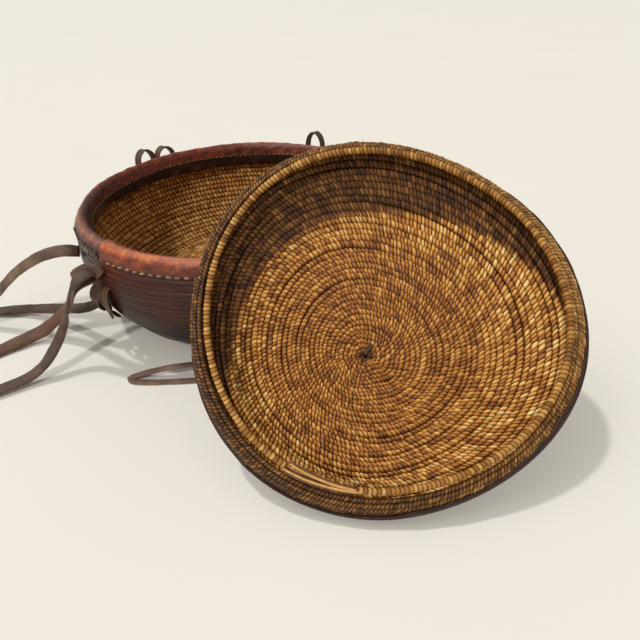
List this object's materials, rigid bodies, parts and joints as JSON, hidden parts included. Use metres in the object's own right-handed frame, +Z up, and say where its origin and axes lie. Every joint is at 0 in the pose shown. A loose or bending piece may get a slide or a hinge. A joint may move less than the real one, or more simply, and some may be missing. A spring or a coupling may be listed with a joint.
{
  "type": "leather-covered basket",
  "caption": "Round coiled straw basket covered in ribbed leather, with a sewn rim band, leather thong ties and its shallow lid lifted off and leant against it.",
  "frame": {"origin": "middle of the base's flat underside, on the surface that the basket stands on", "axes": "+Z up out of the base's mouth, +Y away from the viewer, +X to the viewer's right, where the lid leans"},
  "size_m": [0.5164, 0.4366, 0.167],
  "materials": {
    "straw": "coiled golden grass, satin",
    "straw_pale": "bare pale grass, satin",
    "hide": "red-brown ribbed hide, semi-matte",
    "band_hide": "orange-brown hide, worn satin",
    "dark_hide": "dark brown hide, matte",
    "thong_hide": "grey-brown cut thong, matte",
    "thread": "cream sewing thread, matte"
  },
  "bodies": {
    "base": {"base_coiled_bowl": "straw", "base_leather_wall": "hide", "base_leather_sole": "hide", "base_rim_band": "band_hide", "base_inner_strip": "dark_hide", "base_rim_stitching": "thread", "tie_keeper_front_left": "thong_hide", "tie_keeper_back_left": "thong_hide", "tie_keeper_back_right": "thong_hide", "tie_keeper_front_right": "thong_hide", "tie_loop_back_left_1": "thong_hide", "tie_loop_back_left_2": "thong_hide", "tie_loop_back_right_1": "thong_hide", "tie_loop_back_right_2": "thong_hide", "tie_tab_front_left": "band_hide", "thong_a": "thong_hide", "thong_b": "thong_hide", "thong_c": "thong_hide", "thong_d": "thong_hide", "thong_front": "thong_hide"},
    "lid": {"lid_coiled_dish": "straw", "lid_rim_coil": "straw_pale", "lid_leather_cover": "hide", "lid_broken_straw_1": "straw_pale", "lid_broken_straw_2": "straw_pale", "lid_broken_straw_3": "straw_pale", "lid_broken_straw_4": "straw_pale", "lid_broken_straw_5": "straw_pale", "lid_broken_straw_6": "straw_pale", "lid_centre_knot": "dark_hide"}
  },
  "joints": [
    {"name": "lid_lift", "type": "slide", "parent": "base", "child": "lid", "axis": [0, 0, 1], "range_m": [0, 0.16]}
  ]
}
